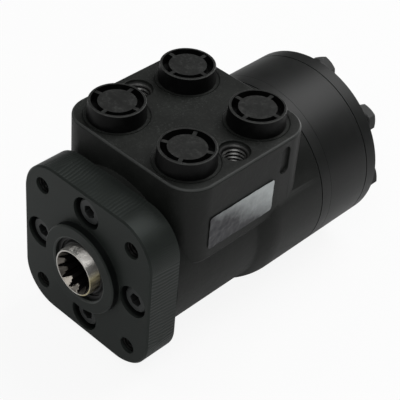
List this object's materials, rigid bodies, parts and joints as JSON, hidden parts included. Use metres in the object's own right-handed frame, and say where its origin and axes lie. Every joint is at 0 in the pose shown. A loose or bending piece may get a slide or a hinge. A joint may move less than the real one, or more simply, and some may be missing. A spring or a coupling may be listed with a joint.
{
  "type": "orbital steering unit",
  "caption": "Orbital hydraulic steering unit: spool and sleeve valve in a ported housing with a square column flange, driving a gerotor metering set through a cardan shaft.",
  "frame": {"origin": "where the shaft axis crosses the column flange's mounting face", "axes": "-Y along the shaft towards the steering column, +Y towards the end cover, +Z towards the port face, +X to the right seen from the column"},
  "size_m": [0.0914, 0.17, 0.1086],
  "materials": {
    "painted_casting": "semi-matt black paint over a sand-cast surface",
    "painted_flange": "semi-matt black paint over a machined surface",
    "painted_steel": "semi-matt black paint over turned steel",
    "painted_screws": "screws and washers painted over with the body",
    "dark_screws": "black oxide socket-head screws",
    "seal_rubber": "matt black nitrile",
    "bearing_steel": "ground hardened steel",
    "ground_steel": "ground steel with a thin oil film",
    "spool_steel": "turned steel, slightly straw tinted",
    "spring_steel": "blued spring steel",
    "gear_steel": "hardened, finish-ground",
    "plug_plastic": "moulded black polyethylene",
    "label_foil": "plain silver-grey label film, nothing printed"
  },
  "bodies": {
    "root": {"housing": "painted_casting", "front_flange": "painted_flange", "flange_screws": "dark_screws", "dust_seal": "seal_rubber", "shaft_seal": "seal_rubber", "thrust_race_front": "bearing_steel", "thrust_needles": "bearing_steel", "distributor_plate": "painted_steel", "gear_ring": "painted_steel", "end_cover": "painted_steel", "cover_screws": "painted_screws", "cover_washers": "painted_screws", "check_bush": "ground_steel", "port_plug_p": "plug_plastic", "port_plug_t": "plug_plastic", "port_plug_l": "plug_plastic", "port_plug_r": "plug_plastic", "flange_ring": "seal_rubber", "housing_ring": "seal_rubber", "plate_ring": "seal_rubber", "cover_ring": "seal_rubber", "blank_label": "label_foil"},
    "sleeve": {"valve_sleeve": "ground_steel", "cross_pin": "bearing_steel", "spring_ring": "ground_steel", "centring_springs": "spring_steel", "thrust_race_rear": "bearing_steel"},
    "spool": {"valve_spool": "spool_steel"},
    "orbit": {"drive_spacer": "ground_steel"},
    "rotor": {"rotor": "gear_steel"},
    "cardan": {"cardan_shaft": "gear_steel"},
    "ball": {"check_ball": "bearing_steel"}
  },
  "joints": [
    {"name": "sleeve_turn", "type": "hinge", "parent": "root", "child": "sleeve", "pos_m": [0, 0, 0], "axis": [0, 1, 0], "continuous": true},
    {"name": "spool_turn", "type": "hinge", "parent": "sleeve", "child": "spool", "pos_m": [0, 0, 0], "axis": [0, 1, 0], "range_deg": [-8, 8], "stiffness_Nm_per_rad": 3, "deforming": ["centring_springs"]},
    {"name": "rotor_orbit", "type": "hinge", "parent": "root", "child": "orbit", "pos_m": [0, 0, 0], "axis": [0, 1, 0], "continuous": true},
    {"name": "rotor_turn", "type": "hinge", "parent": "orbit", "child": "rotor", "pos_m": [0, 0.13395, 0.0027], "axis": [0, 1, 0], "continuous": true},
    {"name": "cardan_turn", "type": "hinge", "parent": "orbit", "child": "cardan", "pos_m": [0, 0.055, 0], "axis": [0, 0.9994, 0.0342], "continuous": true},
    {"name": "check_ball_lift", "type": "slide", "parent": "root", "child": "ball", "axis": [0, 0, 1], "range_m": [0, 0.002]}
  ],
  "couplings": [
    {"joint": "rotor_orbit", "follows": "sleeve_turn", "ratio": -6},
    {"joint": "rotor_turn", "follows": "sleeve_turn", "ratio": 7},
    {"joint": "cardan_turn", "follows": "sleeve_turn", "ratio": 7}
  ]
}
